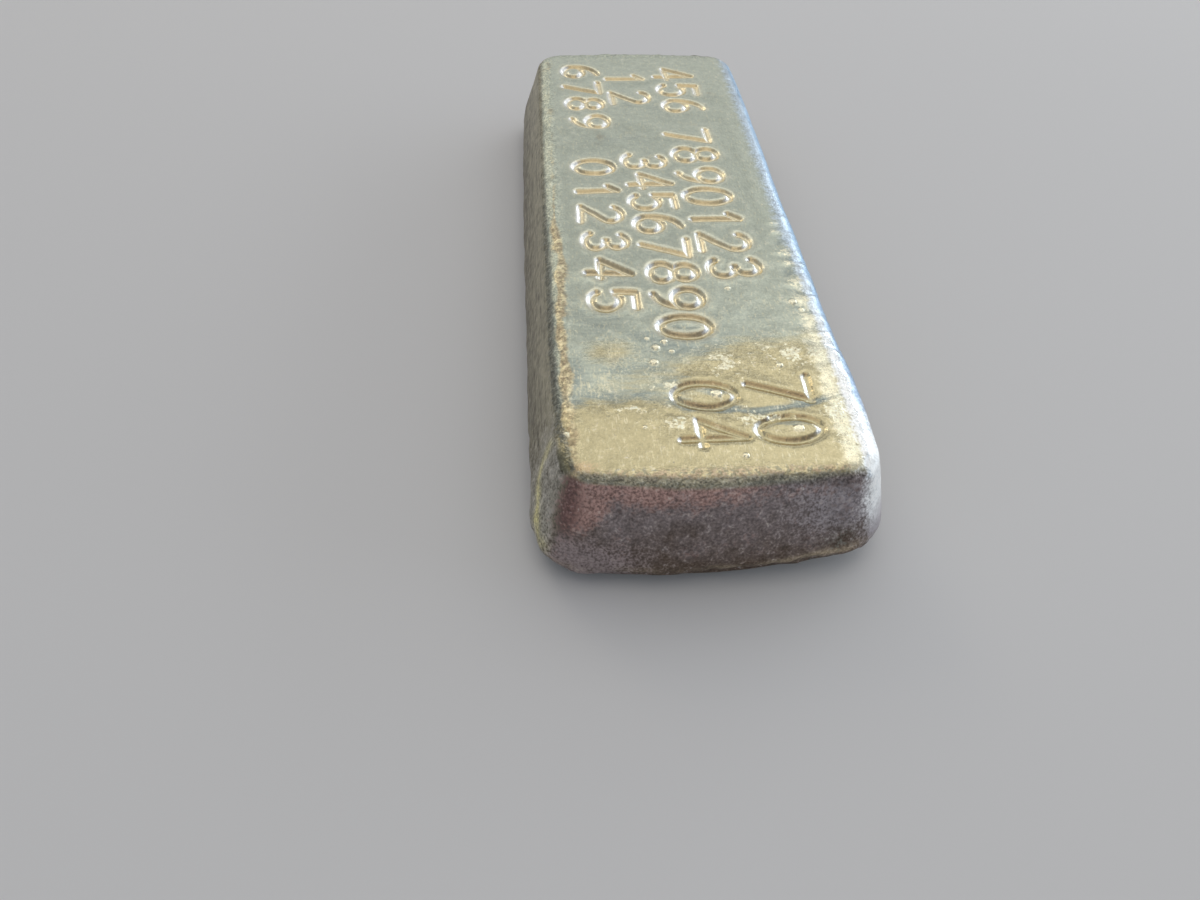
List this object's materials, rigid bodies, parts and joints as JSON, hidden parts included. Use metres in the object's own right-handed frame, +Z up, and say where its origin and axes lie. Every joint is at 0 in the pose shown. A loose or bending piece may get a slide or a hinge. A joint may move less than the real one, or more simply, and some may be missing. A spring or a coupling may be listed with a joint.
{
  "type": "cast silver bar",
  "caption": "Poured bar of fine silver: a flat top, leaning sides with soft edges, and a rounded underside edge round a shallow sink.",
  "frame": {"origin": "middle of the underside", "axes": "+Z up through the flat top, +Y along the bar, +X across it"},
  "size_m": [0.0334, 0.087, 0.0115],
  "materials": {
    "cast_silver": "as cast, bright on top and matte on the sides, lightly toned"
  },
  "bodies": {
    "root": {"silver_bar": "cast_silver"}
  },
  "joints": []
}
